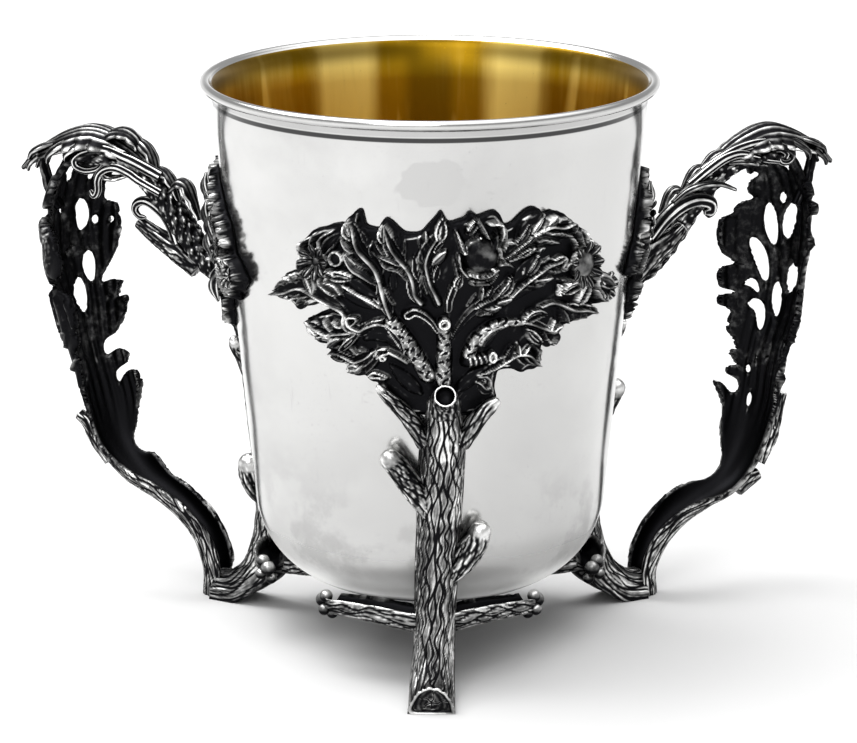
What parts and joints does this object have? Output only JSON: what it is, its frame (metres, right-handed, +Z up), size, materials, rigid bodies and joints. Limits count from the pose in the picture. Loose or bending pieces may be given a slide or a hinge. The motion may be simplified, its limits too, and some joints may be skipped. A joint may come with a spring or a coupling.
{
  "type": "washing cup",
  "caption": "Ceremonial hand-washing cup: a plain tapered silver cup with a gilded inside, held by tree-shaped legs with leafy crowns, and openwork branch handles at the sides.",
  "frame": {"origin": "the cup's axis where it meets the table, which is the middle of the whole piece's underside", "axes": "+Z up along the cup's axis, -Y towards the front tree, +X towards the right handle"},
  "size_m": [0.2084, 0.1223, 0.1396],
  "materials": {
    "silver": "polished silver with a fine satin haze outside, gilded inside",
    "oxidised_silver": "cast silver, oxidised black in the recesses and polished on the raised parts"
  },
  "bodies": {
    "root": {"cup": "silver", "front_tree": "oxidised_silver", "right_tree": "oxidised_silver", "left_tree": "oxidised_silver", "right_handle": "oxidised_silver", "left_handle": "oxidised_silver"}
  },
  "joints": []
}
